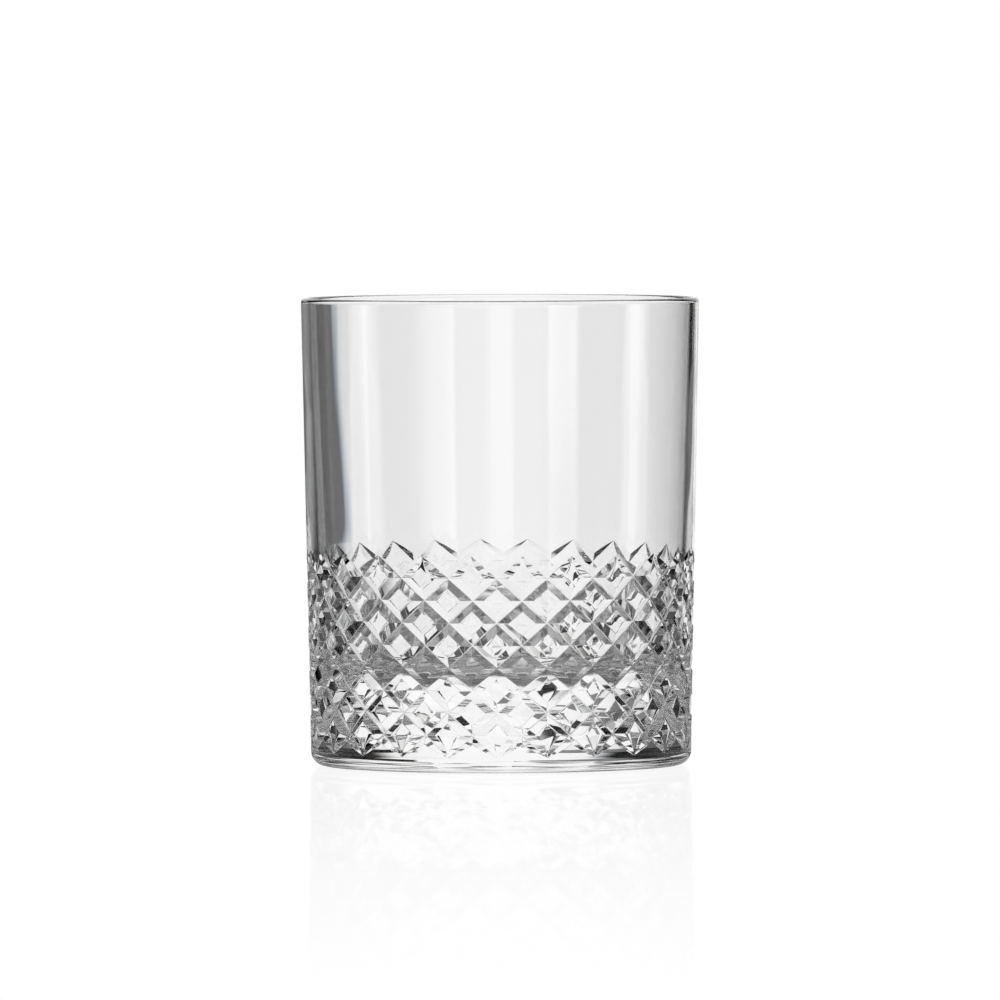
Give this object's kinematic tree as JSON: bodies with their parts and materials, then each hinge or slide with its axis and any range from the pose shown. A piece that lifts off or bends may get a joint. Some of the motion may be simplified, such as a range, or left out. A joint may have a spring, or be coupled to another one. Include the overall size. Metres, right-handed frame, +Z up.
{
  "type": "whiskey tumbler",
  "caption": "Clear cut-glass whiskey tumbler with a thick solid base, a thin straight wall and a diamond-cut band round its lower half.",
  "frame": {"origin": "centre of the flat underside, on the surface that the tumbler stands on", "axes": "+Z up along the tumbler's axis of rotation, towards the rim; -Y is the front, midway between two top tips of the cut band"},
  "size_m": [0.081, 0.081, 0.095],
  "materials": {
    "crystal": "clear polished crystal, fire-polished rim, V-cut lattice with bright facets"
  },
  "bodies": {
    "root": {"tumbler": "crystal"}
  },
  "joints": []
}
